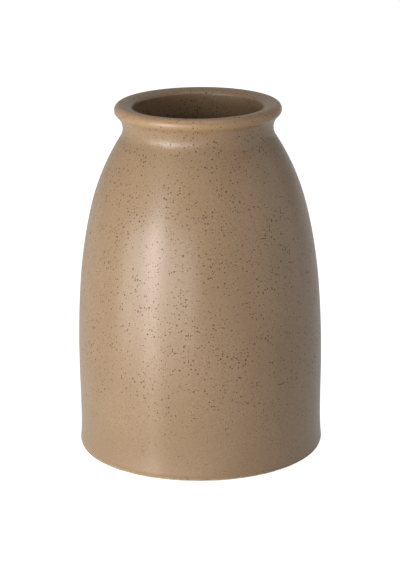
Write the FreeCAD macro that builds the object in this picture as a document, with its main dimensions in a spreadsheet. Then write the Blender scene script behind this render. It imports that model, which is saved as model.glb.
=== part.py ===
import FreeCAD, Part
import math
import os

import Sketcher

# A wide-mouthed stoneware vase, in millimetres, +Z up.
# The origin is the centre of the foot, on the surface that the vase stands on.
# The clay is one turned piece. Three coats of glaze lie on it: outside and over the rim,
# inside, and in the recess under the base. The foot ring stays bare.

# Each row is a name, a value and what it measures. The sizes are those of the fired clay.
SIZES = (
    # outside of the wall, from the foot to the shoulder
    ("height", 209.6, "foot to the top of the rim"),
    ("belly_radius", 73.2, "widest radius of the wall"),
    ("belly_height", 56.0, "height of the widest place"),
    ("waist_tuck", 0.4, "how far the waist draws in from the belly"),
    ("waist_height", 18.0, "height of the waist"),
    ("foot_flare", 0.8, "how far the foot spreads beyond the waist"),
    ("foot_round", 1.5, "rounding under the outer edge of the foot"),
    ("side_out_share", 0.935, "side station, outwards from neck to belly"),
    ("side_up_share", 0.30, "side station, upwards from belly to rim"),
    ("shoulder_out_share", 0.69, "shoulder station, outwards from neck to belly"),
    ("shoulder_up_share", 0.59, "shoulder station, upwards from belly to rim"),
    # neck and rolled rim
    ("mouth_radius", 39.0, "clear radius of the throat"),
    ("wall", 5.2, "thickness of the wall, the same all the way up"),
    ("neck_hollow", 11.0, "radius of the hollow under the rim"),
    ("lip_width", 10.1, "width of the rim, from the throat to its outside"),
    ("nose_radius", 3.3, "rounding of the rim's outside"),
    ("crown_radius", 13.5, "gentle rounding of the rim's top"),
    ("crown_in_share", 0.31, "place of the rim's top, inwards across its width"),
    ("lip_radius", 1.6, "rounding of the rim into the throat"),
    # floor and foot
    ("floor_thickness", 6.0, "thickness of the floor"),
    ("floor_corner", 10.0, "rounding between the floor and the wall, inside"),
    ("recess_depth", 4.0, "depth of the recess under the floor"),
    ("recess_corner", 1.5, "rounding at the top of the recess"),
    ("ring_width", 5.0, "flat width of the foot ring"),
    ("ring_edge", 1.0, "rounding of the foot ring's inner edge"),
    # glaze
    ("glaze_coat", 0.4, "thickness of the glaze"),
    ("bare_strip", 0.6, "bare clay between the foot's rounding and the glaze"),
)

# Radii and heights that follow from the sizes, as the sheet's own formulas.
WAIST = "(Sizes.belly_radius - Sizes.waist_tuck)"
FOOT = f"({WAIST} + Sizes.foot_flare)"
NECK = "(Sizes.mouth_radius + Sizes.wall)"
RIM = "(Sizes.mouth_radius + Sizes.lip_width)"
SPREAD = f"(Sizes.belly_radius - {NECK})"
RISE = "(Sizes.height - Sizes.belly_height)"
SIDE_OUT = f"{NECK} + Sizes.side_out_share * {SPREAD}"
SIDE_UP = f"Sizes.belly_height + Sizes.side_up_share * {RISE}"
SHOULDER_OUT = f"{NECK} + Sizes.shoulder_out_share * {SPREAD}"
SHOULDER_UP = f"Sizes.belly_height + Sizes.shoulder_up_share * {RISE}"
CROWN_OUT = f"{RIM} - Sizes.crown_in_share * Sizes.lip_width"
CROWN_UP = "Sizes.height - Sizes.crown_radius"
FLOOR_UP = "Sizes.recess_depth + Sizes.floor_thickness"
RECESS = f"{FOOT} - Sizes.foot_round - Sizes.ring_width - Sizes.ring_edge"
GLAZE_UP = "Sizes.foot_round + Sizes.bare_strip"
BASE_GLAZE_UP = "Sizes.ring_edge + Sizes.bare_strip"

# The half section's edges, in order, once round from the foot's outer rounding.
OUTSIDE = ("skirt", "waist", "low_belly", "belly", "side", "shoulder", "hollow")
ROLLED_RIM = ("nose", "crown", "lip", "throat")
INSIDE = ("inner_hollow", "inner_shoulder", "inner_side", "inner_belly",
          "inner_low_belly", "inner_waist", "corner", "floor")
UNDERSIDE = ("recess", "recess_corner", "recess_wall")
ORDER = (("foot_round", "bare_skirt") + OUTSIDE + ROLLED_RIM + INSIDE + ("axis",)
         + UNDERSIDE + ("bare_recess_wall", "ring_edge", "ring"))
LINES = ("throat", "floor", "axis", "recess", "recess_wall", "bare_recess_wall", "ring")

# An inner edge has the same centre as the outer edge that it follows.
FOLLOWS = {"inner_" + name: name for name in OUTSIDE[1:]}

# These start where the edge before them ends, with no other tie to its direction.
ONLY_TOUCHING = ("skirt", "inner_hollow", "axis", "recess", "bare_recess_wall")

# A sketch numbers an edge's own places upwards, and its two axes downwards.
START, END, CENTRE = range(1, 4)
H_AXIS, V_AXIS = range(-1, -3, -1)


def make_sheet(doc):
    """The driving dimensions, one row each: name, value, meaning."""
    sheet = doc.addObject("Spreadsheet::Sheet", "Sizes")
    for row, (name, value, meaning) in enumerate(SIZES, start=1):
        sheet.set(f"A{row}", name)
        sheet.set(f"B{row}", str(value))
        sheet.set(f"C{row}", meaning)
        sheet.setAlias(f"B{row}", name)
    doc.recompute()
    return sheet


def point(out, up):
    return FreeCAD.Vector(out, up, 0)


def centre_through(start, normal, end):
    """Centre of the arc that leaves start square to normal and passes through end."""
    chord = end - start
    return start + normal * (chord.dot(chord) / (2 * chord.dot(normal)))


def on_line(centre, towards, radius):
    """The point of a circle that lies towards another place."""
    return centre + (towards - centre).normalize() * radius


def centres(value):
    """Centres of the arcs, worked out so that each arc meets the next without a corner.

    The value function gives the number that a formula of the sheet's sizes comes to.
    """
    belly = point(value("Sizes.belly_radius"), value("Sizes.belly_height"))
    waist = point(value(WAIST), value("Sizes.waist_height"))
    side = point(value(SIDE_OUT), value(SIDE_UP))
    shoulder = point(value(SHOULDER_OUT), value(SHOULDER_UP))
    outwards = point(1, 0)
    found = {}

    # The foot's rounding is followed by a hollow skirt that stands upright at the waist.
    foot_round = value("Sizes.foot_round")
    flare = value("Sizes.foot_flare")
    found["foot_round"] = point(value(FOOT) - foot_round, foot_round)
    rise = waist.y - foot_round
    offset = foot_round - flare
    skirt = (rise * rise + offset * offset - foot_round * foot_round) / (2 * flare)
    found["skirt"] = waist + outwards * skirt

    # From the waist to the belly, two equal arcs make a slow S.
    tuck = belly.x - waist.x
    rise = belly.y - waist.y
    bend = (tuck * tuck + rise * rise) / (4 * tuck)
    found["waist"] = waist + outwards * bend
    found["low_belly"] = belly - outwards * bend
    found["belly"] = centre_through(belly, outwards, side)
    found["side"] = centre_through(side, (found["belly"] - side).normalize(), shoulder)

    # The rim is a gentle crown between two tighter roundings.
    nose_radius = value("Sizes.nose_radius")
    crown_radius = value("Sizes.crown_radius")
    lip_radius = value("Sizes.lip_radius")
    crown = point(value(CROWN_OUT), value(CROWN_UP))
    nose_out = value(RIM) - nose_radius
    lip_out = value("Sizes.mouth_radius") + lip_radius
    nose_up = math.sqrt((crown_radius - nose_radius) ** 2 - (nose_out - crown.x) ** 2)
    lip_up = math.sqrt((crown_radius - lip_radius) ** 2 - (crown.x - lip_out) ** 2)
    found["crown"] = crown
    found["nose"] = point(nose_out, crown.y + nose_up)
    found["lip"] = point(lip_out, crown.y + lip_up)

    # The hollow under the rim touches the nose above it and the shoulder below it.
    hollow_radius = value("Sizes.neck_hollow")
    hollow_out = value(NECK) + hollow_radius
    drop = math.sqrt((hollow_radius + nose_radius) ** 2 - (hollow_out - nose_out) ** 2)
    hollow = point(hollow_out, found["nose"].y - drop)
    found["hollow"] = hollow
    normal = (shoulder - found["side"]).normalize()
    gap = shoulder - hollow
    reach = gap.dot(gap) - hollow_radius ** 2
    shoulder_radius = reach / (2 * (gap.dot(normal) + hollow_radius))
    found["shoulder"] = shoulder - normal * shoulder_radius

    # Inside, a rounding joins the floor to the wall.
    corner_radius = value("Sizes.floor_corner")
    corner_up = value(FLOOR_UP) + corner_radius
    apart = bend + value("Sizes.wall") + corner_radius
    across = math.sqrt(apart ** 2 - (corner_up - waist.y) ** 2)
    found["corner"] = point(found["waist"].x - across, corner_up)

    # Under the floor, the recess and the foot ring have a rounding each.
    recess_corner = value("Sizes.recess_corner")
    ring_edge = value("Sizes.ring_edge")
    found["recess_corner"] = point(value(RECESS) - recess_corner,
                                   value("Sizes.recess_depth") - recess_corner)
    found["ring_edge"] = point(value(RECESS) + ring_edge, ring_edge)
    found["bare_skirt"] = found["skirt"]
    for inner, outer in FOLLOWS.items():
        found[inner] = found[outer]
    return found


def starts(value, centre):
    """Where each edge of the section starts."""
    wall = value("Sizes.wall")
    mouth = value("Sizes.mouth_radius")
    recess = value(RECESS)
    recess_up = value("Sizes.recess_depth")
    glaze_up = value(GLAZE_UP)
    skirt_radius = centre["skirt"].x - value(WAIST)
    glaze_in = math.sqrt(skirt_radius ** 2 - (centre["skirt"].y - glaze_up) ** 2)
    start = {
        "foot_round": point(centre["foot_round"].x, 0),
        "bare_skirt": on_line(centre["foot_round"], centre["skirt"], value("Sizes.foot_round")),
        "skirt": point(centre["skirt"].x - glaze_in, glaze_up),
        "waist": point(value(WAIST), value("Sizes.waist_height")),
        "low_belly": (centre["waist"] + centre["low_belly"]) / 2,
        "belly": point(value("Sizes.belly_radius"), value("Sizes.belly_height")),
        "side": point(value(SIDE_OUT), value(SIDE_UP)),
        "shoulder": point(value(SHOULDER_OUT), value(SHOULDER_UP)),
        "hollow": on_line(centre["hollow"], centre["shoulder"], value("Sizes.neck_hollow")),
        "nose": on_line(centre["hollow"], centre["nose"], value("Sizes.neck_hollow")),
        "crown": on_line(centre["crown"], centre["nose"], value("Sizes.crown_radius")),
        "lip": on_line(centre["crown"], centre["lip"], value("Sizes.crown_radius")),
        "throat": point(mouth, centre["lip"].y),
        "inner_hollow": point(mouth, centre["hollow"].y),
        "corner": on_line(centre["corner"], centre["waist"], value("Sizes.floor_corner")),
        "floor": point(centre["corner"].x, value(FLOOR_UP)),
        "axis": point(0, value(FLOOR_UP)),
        "recess": point(0, recess_up),
        "recess_corner": point(centre["recess_corner"].x, recess_up),
        "recess_wall": point(recess, centre["recess_corner"].y),
        "bare_recess_wall": point(recess, value(BASE_GLAZE_UP)),
        "ring_edge": point(recess, centre["ring_edge"].y),
        "ring": point(centre["ring_edge"].x, 0),
    }
    # The inside keeps the wall's thickness, measured square to the outside.
    for outer, above in zip(OUTSIDE[1:], OUTSIDE[2:]):
        outside = start[above]
        square_in = (outside - centre[outer]).normalize() * wall
        if outer != "waist":
            square_in = square_in * -1
        start["inner_" + outer] = outside + square_in
    return start


class Section:
    """The half section in one sketch. Edges that aren't wanted are drawn for reference."""

    def __init__(self, sketch, wanted):
        self.sketch = sketch
        self.index = {}
        self.first = {}
        self.last = {}
        self.draw(wanted)
        self.join()
        self.size_foot_and_wall()
        self.size_neck_and_rim()
        self.size_inside()
        self.size_underside()

    def value(self, formula):
        return float(self.sketch.evalExpression(formula))

    def pin(self, kind, formula, *places):
        """A dimension that follows a formula of the sheet's sizes."""
        constraint = Sketcher.Constraint(kind, *places, self.value(formula))
        number = self.sketch.addConstraint(constraint)
        self.sketch.setExpression(f"Constraints[{number}]", formula)

    def tie(self, kind, *places):
        self.sketch.addConstraint(Sketcher.Constraint(kind, *places))

    def radius(self, name, formula):
        self.pin("Radius", formula, self.index[name])

    def locate(self, name, place, out=None, up=None):
        """Distances of an edge's place from the axis and from the foot."""
        if out:
            self.pin("DistanceX", out, H_AXIS, START, self.index[name], place)
        if up:
            self.pin("DistanceY", up, H_AXIS, START, self.index[name], place)

    def level(self, name, place, other, other_place):
        self.tie("Horizontal", self.index[name], place, self.index[other], other_place)

    def draw(self, wanted):
        """Lines and arcs, already in their right places."""
        centre = centres(self.value)
        start = starts(self.value, centre)
        for name, following in zip(ORDER, ORDER[1:] + ORDER[:1]):
            self.first[name], self.last[name] = START, END
            if name in LINES:
                edge = Part.LineSegment(start[name], start[following])
            else:
                opening = start[name] - centre[name]
                closing = start[following] - centre[name]
                # An arc runs anticlockwise, so one that is drawn the other way swaps its ends.
                if opening.cross(closing).z < 0:
                    opening, closing = closing, opening
                    self.first[name], self.last[name] = END, START
                circle = Part.Circle(centre[name], FreeCAD.Vector(0, 0, 1), opening.Length)
                edge = Part.ArcOfCircle(circle, math.atan2(opening.y, opening.x),
                                        math.atan2(closing.y, closing.x))
            self.index[name] = self.sketch.addGeometry(edge, name not in wanted)

    def join(self):
        """Each edge meets the next, without a corner where the clay has none."""
        for name, following in zip(ORDER, ORDER[1:] + ORDER[:1]):
            kind = "Coincident" if following in ONLY_TOUCHING else "Tangent"
            self.tie(kind, self.index[name], self.last[name],
                     self.index[following], self.first[following])
        same_centre = dict(FOLLOWS, bare_skirt="skirt")
        for name, other in same_centre.items():
            self.tie("Coincident", self.index[name], CENTRE, self.index[other], CENTRE)

    def size_foot_and_wall(self):
        self.radius("foot_round", "Sizes.foot_round")
        self.locate("foot_round", CENTRE, out=f"{FOOT} - Sizes.foot_round")
        self.locate("bare_skirt", self.last["bare_skirt"], up=GLAZE_UP)
        self.locate("skirt", self.last["skirt"], out=WAIST, up="Sizes.waist_height")
        self.level("skirt", CENTRE, "skirt", self.last["skirt"])
        self.tie("Equal", self.index["waist"], self.index["low_belly"])
        self.locate("low_belly", self.last["low_belly"],
                    out="Sizes.belly_radius", up="Sizes.belly_height")
        self.level("low_belly", CENTRE, "low_belly", self.last["low_belly"])
        self.locate("belly", self.last["belly"], out=SIDE_OUT, up=SIDE_UP)
        self.locate("side", self.last["side"], out=SHOULDER_OUT, up=SHOULDER_UP)

    def size_neck_and_rim(self):
        self.radius("hollow", "Sizes.neck_hollow")
        self.locate("hollow", CENTRE, out=f"{NECK} + Sizes.neck_hollow")
        self.radius("nose", "Sizes.nose_radius")
        self.locate("nose", CENTRE, out=f"{RIM} - Sizes.nose_radius")
        self.radius("crown", "Sizes.crown_radius")
        self.locate("crown", CENTRE, out=CROWN_OUT, up=CROWN_UP)
        self.radius("lip", "Sizes.lip_radius")
        self.tie("Vertical", self.index["throat"])
        self.locate("throat", self.first["throat"], out="Sizes.mouth_radius")
        self.level("throat", self.last["throat"], "hollow", CENTRE)

    def size_inside(self):
        self.radius("corner", "Sizes.floor_corner")
        self.tie("Horizontal", self.index["floor"])
        self.locate("floor", self.last["floor"], up=FLOOR_UP)
        self.tie("PointOnObject", self.index["floor"], self.last["floor"], V_AXIS)

    def size_underside(self):
        self.tie("PointOnObject", self.index["axis"], self.last["axis"], V_AXIS)
        self.locate("axis", self.last["axis"], up="Sizes.recess_depth")
        self.tie("Horizontal", self.index["recess"])
        self.radius("recess_corner", "Sizes.recess_corner")
        self.tie("Vertical", self.index["recess_wall"])
        self.locate("recess_wall", self.last["recess_wall"], out=RECESS, up=BASE_GLAZE_UP)
        self.tie("Vertical", self.index["bare_recess_wall"])
        self.radius("ring_edge", "Sizes.ring_edge")
        self.tie("PointOnObject", self.index["ring"], self.first["ring"], H_AXIS)
        self.tie("PointOnObject", self.index["ring"], self.last["ring"], H_AXIS)


def make_body(doc):
    """The fired clay: the whole section turned once round the axis."""
    body = doc.addObject("PartDesign::Body", "stoneware_body")
    body.Label = "stoneware_body"
    upright = next(f for f in body.Origin.OriginFeatures if f.Role == "XZ_Plane")
    sketch = body.newObject("Sketcher::SketchObject", "body_section")
    sketch.AttachmentSupport = (upright, [""])
    sketch.MapMode = "FlatFace"
    Section(sketch, ORDER)
    turned = body.newObject("PartDesign::Revolution", "turned_clay")
    turned.Profile = sketch
    turned.ReferenceAxis = (sketch, ["V_Axis"])
    turned.Angle = 360
    body.Tip = turned
    return body


def make_coat(doc, name, edges, side):
    """A coat of glaze: one stretch of the section, thickened to its open side and turned.

    The side is 1 where the section runs with the air on its right, and -1 on its left.
    """
    line = doc.addObject("Sketcher::SketchObject", name + "_line")
    line.Placement.Rotation = FreeCAD.Rotation(FreeCAD.Vector(1, 0, 0), 90)
    Section(line, edges)
    strip = doc.addObject("Part::Offset2D", name + "_strip")
    strip.Source = line
    strip.Mode = "Skin"
    strip.Fill = True
    strip.setExpression("Value", f"{side} * Sizes.glaze_coat")
    coat = doc.addObject("Part::Revolution", name)
    coat.Label = name
    coat.Source = strip
    coat.Axis = FreeCAD.Vector(0, 0, 1)
    coat.Angle = 360
    coat.Solid = True
    return coat


def check(doc, pieces):
    """Stop if a feature failed or a piece isn't one valid solid."""
    for item in doc.Objects:
        if "Invalid" in item.State or "Error" in item.State:
            raise RuntimeError(f"{item.Label} failed: {item.State}")
        if item.TypeId == "Sketcher::SketchObject" and not item.FullyConstrained:
            raise RuntimeError(f"{item.Label} isn't fully constrained")
    for piece in pieces:
        shape = piece.Shape
        if shape.isNull() or not shape.isValid() or len(shape.Solids) != 1:
            raise RuntimeError(f"{piece.Label} isn't one valid solid")


def main():
    doc = FreeCAD.newDocument("vase")
    make_sheet(doc)
    pieces = [
        make_body(doc),
        make_coat(doc, "outer_glaze", OUTSIDE + ROLLED_RIM, 1),
        make_coat(doc, "liner_glaze", INSIDE, -1),
        make_coat(doc, "base_glaze", UNDERSIDE, -1),
    ]
    doc.recompute()
    check(doc, pieces)
    os.makedirs("parts", exist_ok=True)
    for piece in pieces:
        piece.Shape.exportStep(f"parts/{piece.Label}.step")
        box = piece.Shape.optimalBoundingBox(False, False)
        print(piece.Label, "volume", round(piece.Shape.Volume), "mm3,",
              "from", round(box.ZMin, 2), "up to", round(box.ZMax, 2))


main()
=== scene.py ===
# %% [markdown]
# A speckled stoneware vase, dressed for its picture.
# The real vase is one turned piece of clay. It was fired, glazed outside, inside and under
# its base, and fired again. Only the foot, which stood in the kiln, is bare clay.
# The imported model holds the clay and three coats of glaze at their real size. Here each of
# them gets a smoother skin and its finish, and stays where the model has it.

import math

import bmesh
import bpy
from mathutils import Matrix, Vector


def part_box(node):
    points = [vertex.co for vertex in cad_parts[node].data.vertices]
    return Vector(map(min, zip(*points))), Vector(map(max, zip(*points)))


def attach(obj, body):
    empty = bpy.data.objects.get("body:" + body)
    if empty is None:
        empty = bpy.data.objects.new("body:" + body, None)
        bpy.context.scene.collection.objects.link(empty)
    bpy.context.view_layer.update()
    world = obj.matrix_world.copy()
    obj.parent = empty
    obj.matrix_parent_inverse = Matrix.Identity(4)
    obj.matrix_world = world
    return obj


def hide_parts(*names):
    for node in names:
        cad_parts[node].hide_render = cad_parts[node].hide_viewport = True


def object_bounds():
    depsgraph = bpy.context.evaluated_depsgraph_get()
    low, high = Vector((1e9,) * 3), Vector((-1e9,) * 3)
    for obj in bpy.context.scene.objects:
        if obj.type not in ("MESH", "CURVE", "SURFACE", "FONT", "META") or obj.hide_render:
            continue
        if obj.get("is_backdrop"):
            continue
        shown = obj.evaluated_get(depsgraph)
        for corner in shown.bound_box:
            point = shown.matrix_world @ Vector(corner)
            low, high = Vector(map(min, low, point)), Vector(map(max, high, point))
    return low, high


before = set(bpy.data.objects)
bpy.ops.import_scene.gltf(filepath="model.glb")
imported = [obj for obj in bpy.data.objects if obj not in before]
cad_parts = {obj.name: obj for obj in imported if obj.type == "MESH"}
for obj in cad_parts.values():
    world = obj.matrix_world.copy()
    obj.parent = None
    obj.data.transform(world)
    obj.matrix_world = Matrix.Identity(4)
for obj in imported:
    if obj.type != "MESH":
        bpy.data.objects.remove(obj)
cad_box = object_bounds()
MM = 0.001
CM = 0.01
print("nodes:", ", ".join(sorted(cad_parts)))
cad_size = cad_box[1] - cad_box[0]
print("height", round(cad_size.z / MM, 1), "mm, width", round(cad_size.x / MM, 1), "mm")

# %% [markdown]
# Sizes. A template for this vase has one long curve from the foot to the shoulder, a small
# hollow under the rim, and a rolled rim of three roundings. So the outline needs only a few
# stations that the curve passes through, and the radii of the small roundings.
# What the model's boxes show is read from them. The other sizes are the fired clay's own.

# %% Sizes of the clay and the glaze, in metres
WALL = 5.2 * MM
COAT = 0.4 * MM

# The long curve has its widest place, its narrow waist, and two stations below the neck.
BELLY_RADIUS = 73.2 * MM
BELLY_UP = 56 * MM
WAIST_TUCK = 0.4 * MM
WAIST_UP = 18 * MM
SIDE_SHARES = 0.935, 0.30
SHOULDER_SHARES = 0.69, 0.59

# The mouth, the hollow under the rim, and the rim's three roundings.
MOUTH_RADIUS = 39 * MM
HOLLOW_RADIUS = 11 * MM
LIP_WIDTH = 10.1 * MM
NOSE_RADIUS = 3.3 * MM
CROWN_RADIUS = 13.5 * MM
CROWN_IN_SHARE = 0.31
LIP_RADIUS = 1.6 * MM

# The floor, the foot ring, and the recess inside it.
FLOOR_CORNER = 10 * MM
FOOT_FLARE = 0.8 * MM
FOOT_ROUND = 1.5 * MM
RING_EDGE = 1 * MM
RECESS_CORNER = 1.5 * MM

# These are read from the model.
CLAY_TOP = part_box("stoneware_body")[1].z
GLAZE_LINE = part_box("outer_glaze")[0].z
FLOOR_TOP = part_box("liner_glaze")[0].z
BASE_GLAZE_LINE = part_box("base_glaze")[0].z
RECESS_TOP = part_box("base_glaze")[1].z
RECESS_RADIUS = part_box("base_glaze")[1].x
print("clay top", round(CLAY_TOP / MM, 2), "mm, glaze line", round(GLAZE_LINE / MM, 2), "mm")

# %% [markdown]
# Stations. The section is drawn in the XZ plane, with X outwards and Z up. The long curve
# could be one spline, but a template maker strikes arcs. A long arc is fixed by its start,
# its direction there and the station that it ends at, so the stations are all it needs.

# %% Stations of the long curve
NECK_RADIUS = MOUTH_RADIUS + WALL
RIM_RADIUS = MOUTH_RADIUS + LIP_WIDTH
OUT = Vector((1, 0, 0))
UP = Vector((0, 0, 1))
AXIS_FOOT = Vector((0, 0, 0))


def point(out, up):
    """A point of the section."""
    return OUT * out + UP * up


def station(out_share, up_share):
    """A share of the way out from the neck to the belly, and up from the belly to the rim."""
    return point(NECK_RADIUS + out_share * (BELLY_RADIUS - NECK_RADIUS),
                 BELLY_UP + up_share * (CLAY_TOP - BELLY_UP))


belly = point(BELLY_RADIUS, BELLY_UP)
waist = point(BELLY_RADIUS - WAIST_TUCK, WAIST_UP)
mid_foot = (belly + waist) / 2
side = station(*SIDE_SHARES)
shoulder = station(*SHOULDER_SHARES)
print("shoulder at radius", round(shoulder.x / MM, 1), "mm, height", round(shoulder.z / MM, 1), "mm")

# %% [markdown]
# Centres. The rolled rim is three circles and the hollow under it is a fourth. Two circles
# that meet without a corner have their centres as far apart as the difference of their
# radii, or as the sum where the curve swings from one side to the other. So each centre
# follows from the one before it, and the rim stays smooth when a size changes.

# %% Centres of the small roundings
ABOVE, BELOW = 1, -1


def beside(centre, out, distance, way):
    """The point this far out and at a distance from a centre: above it, or below it."""
    return point(out, centre.z + way * math.sqrt(distance ** 2 - (out - centre.x) ** 2))


crown_centre = point(RIM_RADIUS - CROWN_IN_SHARE * LIP_WIDTH, CLAY_TOP - CROWN_RADIUS)
nose_centre = beside(crown_centre, RIM_RADIUS - NOSE_RADIUS, CROWN_RADIUS - NOSE_RADIUS, ABOVE)
lip_centre = beside(crown_centre, MOUTH_RADIUS + LIP_RADIUS, CROWN_RADIUS - LIP_RADIUS, ABOVE)
hollow_centre = beside(nose_centre, NECK_RADIUS + HOLLOW_RADIUS,
                       HOLLOW_RADIUS + NOSE_RADIUS, BELOW)

# Two equal arcs lead from the belly to the waist, so each goes half of the tuck inwards.
half_way = (waist - belly) / 2
waist_radius = half_way.length_squared / WAIST_TUCK
waist_centre = waist + OUT * waist_radius

foot_centre = point(waist.x + FOOT_FLARE - FOOT_ROUND, FOOT_ROUND)
corner_centre = point(waist.x - WALL - FLOOR_CORNER, FLOOR_TOP + FLOOR_CORNER)
recess_corner = point(RECESS_RADIUS - RECESS_CORNER, RECESS_TOP - RECESS_CORNER)
ring_edge = point(RECESS_RADIUS + RING_EDGE, RING_EDGE)

# %% [markdown]
# A pen for the section. The outline could be a list of points or a Bezier curve. But a
# turned outline is a chain of arcs, and bmesh has an operator that draws a true arc: spin,
# given one vertex. So a small pen spins its tip about one centre after another. It can also
# draw a wall or a coat away from the outline, because parallel arcs share their centres.

# %% The pen
LONGEST_STEP = 3 * MM
WIDEST_STEP = math.radians(7)
TO_READER = Vector((0, -1, 0))


def left_of(direction):
    """A quarter turn anticlockwise, seen by the reader of the section."""
    return TO_READER.cross(direction)


def turn_between(first, second):
    """The angle from one direction to another, anticlockwise if positive."""
    return math.atan2(left_of(first).dot(second), first.dot(second))


class Pen:
    """Draws one line of the section as arcs that follow each other without a corner."""

    def __init__(self, mesh, start, heading, to_right=0):
        self.mesh = mesh
        self.heading = heading
        self.to_right = to_right
        self.tip = mesh.verts.new(start - left_of(heading) * to_right)

    def guide(self):
        """Where the tip would be if the pen drew on the outline itself."""
        return self.tip.co + left_of(self.heading) * self.to_right

    def turn(self, centre, angle):
        """Spins the tip about a centre."""
        length = abs(angle) * (self.tip.co - centre).length
        steps = math.ceil(max(length / LONGEST_STEP, abs(angle) / WIDEST_STEP))
        arc = bmesh.ops.spin(self.mesh, geom=[self.tip], cent=centre, axis=TO_READER,
                             angle=angle, steps=steps)
        self.tip = next(v for v in arc["geom_last"] if isinstance(v, bmesh.types.BMVert))
        self.heading = Matrix.Rotation(angle, 3, TO_READER) @ self.heading

    def arc_to(self, end):
        """An arc that passes through the end point."""
        chord = end - self.guide()
        left = left_of(self.heading)
        centre = self.guide() + left * chord.length_squared / (2 * chord.dot(left))
        self.turn(centre, 2 * turn_between(self.heading, chord))

    def arc_onto(self, circle, radius):
        """An arc bending left, up to where it touches a circle on its right."""
        offset = self.guide() - circle
        left = left_of(self.heading)
        reach = offset.length_squared - radius ** 2
        centre = self.guide() + left * reach / (2 * (radius - offset.dot(left)))
        self.follow(centre, circle - centre)

    def follow(self, centre, spoke):
        """Goes round a centre until the tip lies in the spoke's direction."""
        self.turn(centre, turn_between(self.tip.co - centre, spoke))

    def straight(self, length):
        """A straight stretch ahead."""
        line = bmesh.ops.extrude_vert_indiv(self.mesh, verts=[self.tip])
        self.tip = line["verts"][0]
        bmesh.ops.translate(self.mesh, verts=[self.tip], vec=self.heading * length)


# %% [markdown]
# The lines of the section. The outside goes up from the belly, over the rim and down the
# throat, and down from the belly to the foot. The inside is the same curve a wall further
# in, down to a rounded floor. The underside has a shallow recess, so that the vase stands on
# a ring: a flat base would rock on the smallest warp from the kiln.

# %% Outside, inside and underside
def draw_outside(mesh, coat=0):
    """The wall's outside and the rim. Gives back the pen where the foot's rounding starts."""
    pen = Pen(mesh, belly, UP, to_right=coat)
    pen.arc_to(side)
    pen.arc_to(shoulder)
    pen.arc_onto(hollow_centre, HOLLOW_RADIUS)
    pen.follow(hollow_centre, nose_centre - hollow_centre)
    pen.follow(nose_centre, nose_centre - crown_centre)
    pen.follow(crown_centre, lip_centre - crown_centre)
    pen.follow(lip_centre, -OUT)
    pen.straight(lip_centre.z - hollow_centre.z)
    pen = Pen(mesh, belly, -UP, to_right=-coat)
    pen.arc_to(mid_foot)
    pen.arc_to(waist)
    pen.arc_onto(foot_centre, FOOT_ROUND)
    return pen


def draw_inside(mesh, depth):
    """The wall's inside from the neck to the middle of the floor."""
    pen = Pen(mesh, belly, UP, to_right=-depth)
    pen.arc_to(side)
    pen.arc_to(shoulder)
    pen.arc_onto(hollow_centre, HOLLOW_RADIUS)
    pen.follow(hollow_centre, -OUT)
    pen = Pen(mesh, belly, -UP, to_right=depth)
    pen.arc_to(mid_foot)
    pen.follow(waist_centre, corner_centre - waist_centre)
    pen.follow(corner_centre, -UP)
    pen.straight(corner_centre.x)


def draw_underside(mesh, coat=0):
    """The recess from the middle out. Gives back the pen where the ring's rounding starts."""
    pen = Pen(mesh, point(0, RECESS_TOP), OUT, to_right=coat)
    pen.straight(recess_corner.x)
    pen.follow(recess_corner, OUT)
    pen.straight(recess_corner.z - ring_edge.z)
    return pen


# %% [markdown]
# From a line to a vase. A potter turns the clay against a template, and spin does the same
# with the drawn section: once round the axis, with the last step merged to the first.
# A coat has two faces, one on the clay and one in the air. It is wiped off the foot with a
# sponge, here by bisect_plane, and the edge that the sponge leaves melts round in the kiln.

# %% Wiping, turning and finishing a section
TURNS = 192
SAME_PLACE = 0.001 * MM
SHARP = math.radians(40)
MELTED = 0.25 * MM
MELT_STEPS = 3


def wipe_below(mesh, height):
    """Takes a coat off below a height."""
    bmesh.ops.bisect_plane(mesh, geom=mesh.verts[:] + mesh.edges[:], dist=SAME_PLACE,
                           plane_co=UP * height, plane_no=UP, clear_inner=True)


def close_ends(mesh):
    """Joins a coat's two faces where they end, but not where they end on the axis."""
    bmesh.ops.remove_doubles(mesh, verts=mesh.verts, dist=SAME_PLACE)
    ends = [v for v in mesh.verts if len(v.link_edges) == 1 and v.co.x > SAME_PLACE]
    ends.sort(key=lambda v: v.co.z)
    for first, second in zip(ends[::2], ends[1::2]):
        mesh.edges.new((first, second))
    return len(ends) // 2


def turned(mesh):
    """Spins the section once round the axis."""
    bmesh.ops.remove_doubles(mesh, verts=mesh.verts, dist=SAME_PLACE)
    bmesh.ops.spin(mesh, geom=mesh.verts[:] + mesh.edges[:], cent=AXIS_FOOT, axis=UP,
                   angle=2 * math.pi, steps=TURNS, use_merge=True)
    bmesh.ops.remove_doubles(mesh, verts=mesh.verts, dist=SAME_PLACE)
    bmesh.ops.recalc_face_normals(mesh, faces=mesh.faces)


def melt_edge(mesh, height, radius):
    """Rounds the ring-shaped edge of a coat at this height and radius."""
    ring = [e for e in mesh.edges
            if all(abs(v.co.z - height) < SAME_PLACE and abs(v.co.xy.length - radius) < SAME_PLACE
                   for v in e.verts)]
    bmesh.ops.bevel(mesh, geom=ring, affect="EDGES", offset=MELTED, segments=MELT_STEPS,
                    profile=0.5, material=-1)
    return len(ring)


def linked(mesh, name):
    """Makes an object of the mesh and links it to the scene."""
    data = bpy.data.meshes.new(name)
    mesh.to_mesh(data)
    mesh.free()
    piece = bpy.data.objects.new(name, data)
    bpy.context.scene.collection.objects.link(piece)
    return piece


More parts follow.
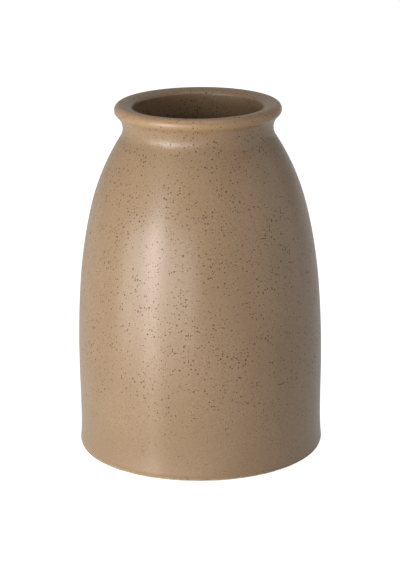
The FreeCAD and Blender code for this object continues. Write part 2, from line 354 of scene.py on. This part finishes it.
def finished(mesh, name):
    """Smooths the skin, keeps its real corners sharp and says what it measures."""
    for face in mesh.faces:
        face.smooth = True
    for edge in mesh.edges:
        edge.smooth = edge.calc_face_angle(0) < SHARP
    print(f"{name}: {mesh.calc_volume() / CM ** 3:.1f} cm3, {len(mesh.faces)} faces,",
          sum(len(e.link_faces) != 2 for e in mesh.edges), "open edges")
    return linked(mesh, name)


# %% [markdown]
# The clay body is the wall, the rim's core, the floor and the foot in one. Its section is
# one closed line. It could be a solid with a hole cut in it, but a potter never cuts a hole
# either: the wall is there from the start, and the hollow with it.

# %% The fired clay
mesh = bmesh.new()
pen = draw_outside(mesh)
pen.follow(foot_centre, -UP)
draw_inside(mesh, WALL)
pen = draw_underside(mesh)
pen.follow(ring_edge, -UP)
pen.straight(foot_centre.x - ring_edge.x)
turned(mesh)
clay = finished(mesh, "fired_clay")

# %% [markdown]
# The outer coat is a thin skin over the clay, from the foot over the rim and down the
# throat. A solidify modifier could give the clay a skin, but then the coat would have no
# face against the clay and no edge. So the outline is drawn twice, the second time a coat's
# thickness further out.

# %% The glaze outside
mesh = bmesh.new()
draw_outside(mesh)
draw_outside(mesh, COAT)
wipe_below(mesh, GLAZE_LINE)
print("ends closed:", close_ends(mesh))
glaze_foot_radius = max(v.co.x for v in mesh.verts if abs(v.co.z - GLAZE_LINE) < SAME_PLACE)
turned(mesh)
foot_edge = melt_edge(mesh, GLAZE_LINE, glaze_foot_radius)
print("edges melted round:", foot_edge)
outside_glaze = finished(mesh, "outside_glaze")

# %% [markdown]
# The liner is poured in, swilled round and poured out, so it covers everything inside and
# ends in the throat, where the outer coat takes over. Both coats end there on a flat ring.

# %% The glaze inside
mesh = bmesh.new()
draw_inside(mesh, WALL)
draw_inside(mesh, WALL + COAT)
print("ends closed:", close_ends(mesh))
turned(mesh)
inside_glaze = finished(mesh, "inside_glaze")

# %% [markdown]
# The recess under the base has a coat too, so that no bare clay drinks water from a wet
# table. It hangs under the base, and its lower edge is wiped clear of the ring.

# %% The glaze in the recess
mesh = bmesh.new()
draw_underside(mesh)
draw_underside(mesh, COAT)
wipe_below(mesh, BASE_GLAZE_LINE)
print("ends closed:", close_ends(mesh))
turned(mesh)
recess_edge = melt_edge(mesh, BASE_GLAZE_LINE, RECESS_RADIUS - COAT)
print("edges melted round:", recess_edge)
recess_glaze = finished(mesh, "recess_glaze")

# %% [markdown]
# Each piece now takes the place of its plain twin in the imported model. All four ride on the
# same body, because a vase doesn't move against itself.

# %% Pieces on the model
for piece, node in ((clay, "stoneware_body"), (outside_glaze, "outer_glaze"),
                    (inside_glaze, "liner_glaze"), (recess_glaze, "base_glaze")):
    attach(piece, "root")
    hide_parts(node)
    print(piece.name, "replaces", node)

# %% [markdown]
# Finishes. A glaze is glass with colour in it, so its look is one Principled shader whose
# colour, roughness and bump change from place to place. Those changes are sums on the
# object's own coordinates, and so they stay on the vase when the camera moves. The sums
# could be wired by hand in the shader editor. Written with plus and times they are shorter
# and easier to change, and two small classes let a node's outputs stand in such a sum.

# %% Sums on a node's outputs
class Socket:
    """A node's output that can stand in a sum with numbers and other outputs."""

    def __init__(self, finish, output):
        self.finish = finish
        self.output = output

    def sum(self, operation, first, second):
        made = self.finish.add("Math", {"operation": operation},
                               {"Value": first, "Value_001": second})
        return made["Value"]

    def __add__(self, other):
        return self.sum("ADD", self, other)

    def __radd__(self, other):
        return self.sum("ADD", other, self)

    def __sub__(self, other):
        return self.sum("SUBTRACT", self, other)

    def __rsub__(self, other):
        return self.sum("SUBTRACT", other, self)

    def __mul__(self, other):
        return self.sum("MULTIPLY", self, other)

    def __rmul__(self, other):
        return self.sum("MULTIPLY", other, self)


class Outputs:
    """The outputs of one node, by their names."""

    def __init__(self, finish, node):
        self.finish = finish
        self.node = node

    def __getitem__(self, name):
        return Socket(self.finish, next(s for s in self.node.outputs if s.identifier == name))


# %% [markdown]
# The node tree of a finish. One method adds any node, sets it up and fills its sockets. The
# others are short names for what a finish needs again and again: a place on the object, a
# noise, a soft step, a blend of two colours and a bump.

# %% A node tree under construction
# Between these values of a noise a patch begins and is full.
PATCH_START, PATCH_FULL = 0.35, 0.65


class Finish:
    """The node tree of a material or of the world."""

    def __init__(self, owner):
        owner.use_nodes = True
        self.tree = owner.node_tree
        self.tree.nodes.clear()

    def add(self, kind, settings=(), inputs=()):
        """Adds a node: its settings first, then a value or a link for each named socket."""
        node = self.tree.nodes.new("ShaderNode" + kind)
        for name, value in dict(settings).items():
            setattr(node, name, value)
        for name, value in dict(inputs).items():
            socket = next(s for s in node.inputs if s.identifier == name)
            if isinstance(value, Socket):
                self.tree.links.new(value.output, socket)
            else:
                socket.default_value = value
        return Outputs(self, node)

    def place_in_mm(self):
        """Where a point lies on the object, in millimetres."""
        place = self.add("TexCoord")["Object"]
        return self.add("VectorMath", {"operation": "SCALE"},
                        {"Vector": place, "Scale": 1 / MM})["Vector"]

    def noise(self, place, size, detail=2):
        """Soft random blotches about this wide, from 0 to 1 but mostly near the middle."""
        return self.add("TexNoise", {}, {"Vector": place, "Scale": 1 / size,
                                         "Detail": detail})["Fac"]

    def step(self, value, low, high, start=0, end=1):
        """Goes smoothly from start to end while the value goes from low to high."""
        return self.add("MapRange", {"interpolation_type": "SMOOTHSTEP"},
                        {"Value": value, "From Min": low, "From Max": high,
                         "To Min": start, "To Max": end})["Result"]

    def patches(self, place, size, start=0, end=1):
        """Noise spread out, so that much of it lies at the start or the end."""
        return self.step(self.noise(place, size), PATCH_START, PATCH_FULL, start, end)

    def blend(self, share, first, second):
        """A colour between two colours."""
        made = self.add("Mix", {"data_type": "RGBA"},
                        {"Factor_Float": share, "A_Color": first, "B_Color": second})
        return made["Result_Color"]

    def bump(self, height, depth):
        """Tilts the surface as a height does that goes from 0 to 1 over this depth."""
        return self.add("Bump", {}, {"Strength": 1, "Distance": depth, "Height": height})["Normal"]

    def surface(self, **sockets):
        """A Principled shader with these sockets, as the surface."""
        names = {name.replace("_", " "): value for name, value in sockets.items()}
        shader = self.add("BsdfPrincipled", {}, names)["BSDF"]
        self.add("OutputMaterial", {}, {"Surface": shader})


def colour(red, green, blue):
    """A colour as the shader takes it, from its linear shares."""
    return red, green, blue, 1


def dress(pieces, material, slot):
    """Puts one material on some pieces and prints the name of the model's slot for it."""
    for piece in pieces:
        piece.data.materials.append(material)
    print(slot, "on", len(pieces), "pieces,", len(material.node_tree.nodes), "nodes")


# %% [markdown]
# Iron specks. The dark grains are iron in the clay that bleeds through the glaze. They could
# be dots on a painted map, but grains in a block of clay are scattered in space, and the
# surface cuts through them. A Voronoi texture in space does just that. Where the surface
# passes near a cell's seed it shows a round spot, and the spot is as wide as the pass is near.

# %% Specks
# In millimetres.
GRAIN_SPACING = 1.31
GRAIN_RADII = 0.175, 0.575
GRAIN_EDGE = 0.06
CLUSTER_WIDTH = 14

# How far a grain is from round and how finely, and how small and large it is between and in
# the clusters.
GRAIN_CROOKED, CROOK_DETAIL = 0.2, 1
CLUSTER_SIZES = 0.8, 1.12


def specks(finish, place, size=1):
    """1 in a grain of iron and 0 beside it."""
    crook = finish.add("TexNoise", {}, {"Vector": place, "Scale": 1 / GRAIN_RADII[1],
                                        "Detail": CROOK_DETAIL})["Color"]
    bent = finish.add("VectorMath", {"operation": "MULTIPLY_ADD"},
                      {"Vector": crook, "Vector_001": (GRAIN_CROOKED,) * 3,
                       "Vector_002": place})["Vector"]
    cell = finish.add("TexVoronoi", {}, {"Vector": bent, "Scale": 1 / GRAIN_SPACING})
    chance = finish.add("SeparateColor", {}, {"Color": cell["Color"]})["Red"]
    small, large = GRAIN_RADII
    # A fourth power is seldom near 1, so large grains are rare.
    rare = chance * chance * chance * chance
    radius = (small + (large - small) * rare) * size
    cluster = finish.patches(place, CLUSTER_WIDTH, *CLUSTER_SIZES)
    return finish.step(radius * cluster - GRAIN_SPACING * cell["Distance"],
                       -GRAIN_EDGE, GRAIN_EDGE)


# %% [markdown]
# The glaze's colour. Its tan is a little paler or browner from place to place, as the coat is
# thicker or thinner, and has fine brown freckles. It breaks to a warmer tan where it runs thin
# over the rim. Smaller grains show there and near the foot. Height and distance from the axis
# say where that is, so one material serves the outside, the inside and the recess.

# %% The glaze's colours
TAN = colour(0.385, 0.257, 0.150)
PALE_TAN = colour(0.420, 0.285, 0.172)
BROWN_TAN = colour(0.328, 0.212, 0.120)
WARM_BREAK = colour(0.46, 0.287, 0.147)
IRON = colour(0.072, 0.031, 0.010)
EVEN_SHARE, BREAK_SHARE, IRON_SHARE = 0.6, 0.65, 0.86

# In millimetres.
CLOUD_WIDTH, FRECKLE_WIDTH = 45, 0.9
FOOT_BAND = 0, 60
RIM_BAND = 198, 206
RIM_OUTWARDS = 42, 47

# How fine the freckles are, and between which values of the noise they show.
FRECKLE_DETAIL = 3
FRECKLE_START, FRECKLE_FULL = 0.38, 0.62

# How large the grains look at the foot and on the rim.
FOOT_GRAINS, RIM_GRAINS = 0.50, 0.95


def away_from_axis(finish, place):
    """How far out from the turning axis a place is."""
    flat = finish.add("VectorMath", {"operation": "MULTIPLY"},
                      {"Vector": place, "Vector_001": (1, 1, 0)})["Vector"]
    return finish.add("VectorMath", {"operation": "LENGTH"}, {"Vector": flat})["Value"]


def above_foot(finish, place):
    """How far up from the table a place is."""
    return finish.add("SeparateXYZ", {}, {"Vector": place})["Z"]


# %% The glaze's colour, from place to place
glaze_material = bpy.data.materials.new("speckled_glaze")
glaze = Finish(glaze_material)
place_mm = glaze.place_in_mm()
up = above_foot(glaze, place_mm)
on_rim = (glaze.step(away_from_axis(glaze, place_mm), *RIM_OUTWARDS)
          * glaze.step(up, *RIM_BAND))
iron = specks(glaze, place_mm,
              glaze.step(up, *FOOT_BAND, FOOT_GRAINS, 1) * glaze.step(up, *RIM_BAND, 1, RIM_GRAINS))

ground = glaze.blend(glaze.patches(place_mm, CLOUD_WIDTH), BROWN_TAN, PALE_TAN)
ground = glaze.blend(EVEN_SHARE, ground, TAN)
freckles = glaze.step(glaze.noise(place_mm, FRECKLE_WIDTH, FRECKLE_DETAIL),
                      FRECKLE_START, FRECKLE_FULL)
ground = glaze.blend(freckles, ground, BROWN_TAN)
ground = glaze.blend(BREAK_SHARE * on_rim, ground, WARM_BREAK)
ground = glaze.blend(IRON_SHARE * iron, ground, IRON)
print("colour of the glaze:", len(glaze.tree.nodes), "nodes")

# %% [markdown]
# The glaze's gloss. It is a satin gloss, which comes from crystals too small to see, so the
# roughness is a plain number with a little noise. The skin has faint waves, like orange peel
# but far shallower, and each grain of iron lifts the skin by a hair and dulls it a little.

# %% The glaze's gloss, waves and pits
GLAZE_ROUGHNESS = 0.27
UNEVEN_GLOSS, UNEVEN_WIDTH = 0.06, 3
DULL_GRAIN = 0.15

# Widths in millimetres, and each one's share in the height of the skin.
WAVE_WIDTH, WAVE_SHARE = 2.2, 0.7
PIT_WIDTH, PIT_SHARE = 0.5, 0.12
GRAIN_SHARE = 0.03
SKIN_DEPTH = 0.02 * MM

roughness = (GLAZE_ROUGHNESS + UNEVEN_GLOSS * glaze.noise(place_mm, UNEVEN_WIDTH)
             + DULL_GRAIN * iron)
waves = (WAVE_SHARE * glaze.noise(place_mm, WAVE_WIDTH) + GRAIN_SHARE * iron
         + PIT_SHARE * glaze.noise(place_mm, PIT_WIDTH))
glaze.surface(Base_Color=ground, Roughness=roughness, Normal=glaze.bump(waves, SKIN_DEPTH))
dress((outside_glaze, inside_glaze, recess_glaze), glaze_material, "speckled_glaze")

# %% [markdown]
# The bare clay is seen on the foot ring only. It is cream, dry and grainy. Next to the glaze
# the clay is toasted brown, because the glaze bleeds a little of its iron into it in the
# kiln, and only the last millimetre above the table stays cream. The turning tool leaves fine
# rings, which are noise along the distance from the axis alone.

# %% The bare clay
CREAM = colour(0.86, 0.79, 0.68)
SAND = colour(0.76, 0.66, 0.52)
TOASTED = colour(0.42, 0.285, 0.165)

# In millimetres.
CLAY_CLOUDS, SAND_GRAIN, TOOL_RINGS = 8, 0.35, 0.4
TOAST_BAND = 0.7, 1.1

SAND_DETAIL, RING_DETAIL = 3, 1
GRAIN_STAIN, CLAY_IRON_SHARE = 0.35, 0.7
CLAY_ROUGHNESS, GRAIN_ROUGHNESS = 0.82, 0.1
GRAIN_HEIGHT, RING_HEIGHT = 0.6, 0.4
CLAY_SKIN = 0.1 * MM

clay_material = bpy.data.materials.new("bare_clay")
bare = Finish(clay_material)
place_mm = bare.place_in_mm()
grain = bare.noise(place_mm, SAND_GRAIN, SAND_DETAIL)
ground = bare.blend(bare.patches(place_mm, CLAY_CLOUDS), CREAM, SAND)
ground = bare.blend(GRAIN_STAIN * grain, ground, SAND)
ground = bare.blend(bare.step(above_foot(bare, place_mm), *TOAST_BAND), ground, TOASTED)
ground = bare.blend(CLAY_IRON_SHARE * specks(bare, place_mm), ground, IRON)
tool = bare.add("CombineXYZ", {}, {"X": away_from_axis(bare, place_mm)})["Vector"]
skin = GRAIN_HEIGHT * grain + RING_HEIGHT * bare.noise(tool, TOOL_RINGS, RING_DETAIL)
bare.surface(Base_Color=ground, Roughness=CLAY_ROUGHNESS + GRAIN_ROUGHNESS * grain,
             Normal=bare.bump(skin, CLAY_SKIN))
dress((clay,), clay_material, "bare_clay")

# %% [markdown]
# The camera. Its place was worked out from the outline in the photograph: how round the
# mouth looks gives the height of the eye. How much narrower the foot looks than a parallel
# view would show gives the distance, but only roughly: any from 1.1 to 1.3 m fits about as
# well. Here it is a long lens about 1.26 m away.

# %% Camera
VIEW_DISTANCE = 1.259
VIEW_RISE = math.radians(16.558)
VIEW_PITCH = math.radians(16.871)
VIEW_ROLL = math.radians(-0.537)
VIEW_YAW = math.radians(0.011)
LENS_MM = 131.88
QUARTER_TURN = math.pi / 2

scene = bpy.context.scene
camera_data = bpy.data.cameras.new("camera")
camera_data.lens = LENS_MM
camera = bpy.data.objects.new("camera", camera_data)
scene.collection.objects.link(camera)
middle = UP * (cad_box[1].z / 2)
eye = Matrix.Rotation(-VIEW_RISE, 3, "X") @ Vector((0, -VIEW_DISTANCE, 0))
aim = (Matrix.Rotation(-VIEW_YAW, 3, "Z") @ Matrix.Rotation(QUARTER_TURN - VIEW_PITCH, 3, "X")
       @ Matrix.Rotation(VIEW_ROLL, 3, "Z"))
camera.location = middle + eye
camera.rotation_mode = "QUATERNION"
camera.rotation_quaternion = aim.to_quaternion()
scene.camera = camera
print("camera at", *(round(c, 4) for c in camera.location))

# %% [markdown]
# What rays find. The background is to be white, but white paper all round would also flood
# the vase with light. So the floor and the world ask the Light Path node what kind of ray
# arrives. A camera ray finds full white, a ray from a gloss finds a softer white, and all
# other light finds only a dim room. Full white in the gloss would veil the vase's edges.

# %% What the camera sees directly
IN_GLOSS = 0.4


def seen_directly(finish):
    """1 for rays from the camera, a smaller share for rays from a gloss, 0 for other light."""
    ray = finish.add("LightPath")
    gloss = finish.add("Math", {"operation": "MAXIMUM"},
                       {"Value": ray["Is Glossy Ray"], "Value_001": ray["Is Transmission Ray"]})
    return finish.add("Math", {"operation": "MAXIMUM"},
                      {"Value": ray["Is Camera Ray"],
                       "Value_001": IN_GLOSS * gloss["Value"]})["Value"]


# %% [markdown]
# The floor is a sheet of paper. It shines with the white that rays find, so it can't be told
# from the background. It is also a satin surface that the lamps light, so it keeps the vase's
# shadow and shows a faint reflection of the foot. It lies a hair below the foot ring, because
# two faces in the very same plane flicker.

# %% Floor
FLOOR_RADIUS = 6
FLOOR_SIDES = 96
FLOOR_DROP = 0.05 * MM

# The paper's own white is a little under full, because the lamps' light on it is added.
FLOOR_WHITE = 0.9
PAPER = colour(0.8, 0.8, 0.8)
PAPER_ROUGHNESS = 0.12
PAPER_IOR = 2.0

mesh = bmesh.new()
bmesh.ops.create_circle(mesh, cap_ends=True, segments=FLOOR_SIDES, radius=FLOOR_RADIUS)
bmesh.ops.translate(mesh, verts=mesh.verts, vec=-UP * FLOOR_DROP)
floor = linked(mesh, "floor")
floor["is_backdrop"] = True
print("floor:", 2 * FLOOR_RADIUS, "m across")

paper_material = bpy.data.materials.new("floor_paper")
paper = Finish(paper_material)
paper.surface(Base_Color=PAPER, Roughness=PAPER_ROUGHNESS, IOR=PAPER_IOR,
              Emission_Color=FLOOR_WHITE * seen_directly(paper), Emission_Strength=1)
floor.data.materials.append(paper_material)

# %% [markdown]
# The world stands in for the wall of the studio, far away on all sides. It has two
# backgrounds, a white one and a dim one, and the kind of ray chooses between them. The view
# transform is Standard, so that a colour comes out as it was written.

# %% World
AMBIENT = 0.02
WHITE = colour(1, 1, 1)

scene.view_settings.view_transform = "Standard"
scene.world = bpy.data.worlds.new("studio")
room = Finish(scene.world)
dim = room.add("Background", {}, {"Color": WHITE, "Strength": AMBIENT})["Background"]
white = room.add("Background", {}, {"Color": WHITE, "Strength": 1})["Background"]
mixed = room.add("MixShader", {}, {"Fac": seen_directly(room), "Shader": dim,
                                   "Shader_001": white})["Shader"]
room.add("OutputWorld", {}, {"Surface": mixed})
print("world:", len(room.tree.nodes), "nodes")

# %% [markdown]
# The lamps are softboxes, which are plain bright rectangles. One could use sun or point
# lamps, but a gloss mirrors its lamp, and only a wide lamp gives the soft streaks of a
# studio. A box's power is its brightness times its area times pi, so that a brightness of 1
# looks white in a mirror whatever the size. The big boxes all stand at one distance.

# %% A softbox
LAMP_DISTANCE = 1.4


def softbox(name, azimuth, elevation, width, height, brightness, distance=LAMP_DISTANCE):
    """A soft lamp that faces the vase. Azimuth 0 is behind the camera and 90 to its right."""
    data = bpy.data.lights.new(name, "AREA")
    data.shape = "RECTANGLE"
    data.size = width
    data.size_y = height
    data.energy = brightness * math.pi * width * height
    turn = (Matrix.Rotation(math.radians(azimuth), 3, "Z")
            @ Matrix.Rotation(QUARTER_TURN - math.radians(elevation), 3, "X"))
    lamp = bpy.data.objects.new(name, data)
    lamp.rotation_mode = "QUATERNION"
    lamp.rotation_quaternion = turn.to_quaternion()
    lamp.location = middle + turn @ Vector((0, 0, distance))
    lamp.visible_camera = False
    scene.collection.objects.link(lamp)
    print(f"{name}: {data.energy:.1f} W")


# %% [markdown]
# The key light stands on the left at the vase's own height, and the streak down the vase is
# its reflection. A narrow strip stands on the table itself, so the satin table mirrors it and
# the streak runs on down to the foot. Behind the strip is a big softbox. A real one is
# brightest in its middle and fades to its rim, so it is three boxes in one place, and a weak
# box above them lights the shoulder.

# %% The key light
softbox("strip", azimuth=-42.5, elevation=9, width=0.10, height=0.36, brightness=3.4,
        distance=0.55)
softbox("key_core", azimuth=-45, elevation=8, width=0.24, height=0.70, brightness=2.6)
softbox("key_middle", azimuth=-46, elevation=7, width=0.52, height=0.42, brightness=3.3)
softbox("key_spread", azimuth=-41, elevation=3, width=2.1, height=0.38, brightness=4.9)
softbox("key_high", azimuth=-48, elevation=32, width=1.0, height=0.5, brightness=1.2)

# %% [markdown]
# The lower part of the vase mirrors the table, which the key lights there. A small box just
# above the table stands in for that glow. A weak box on the right and one overhead fill the
# shadows, so that the rim and the far side keep their colour.

# %% Glow of the table and fill
softbox("table_glow", azimuth=-54, elevation=-12, width=0.25, height=0.07, brightness=1.4,
        distance=0.32)
softbox("right", azimuth=80, elevation=12, width=1.8, height=1.2, brightness=0.56)
softbox("top", azimuth=0, elevation=78, width=1.0, height=1.0, brightness=1.3)

# %% [markdown]
# Last, the box around the finished pieces is kept beside the model's own box. The two have to
# agree, because whoever uses the part trusts the model's size.

# %% Sizes of the pieces and of the model, printed side by side
new_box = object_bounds()
boxes = {"cad": [list(corner) for corner in cad_box],
         "visual": [list(corner) for corner in new_box]}
for name, corners in boxes.items():
    print(name, *(round(value / MM, 2) for corner in corners for value in corner))
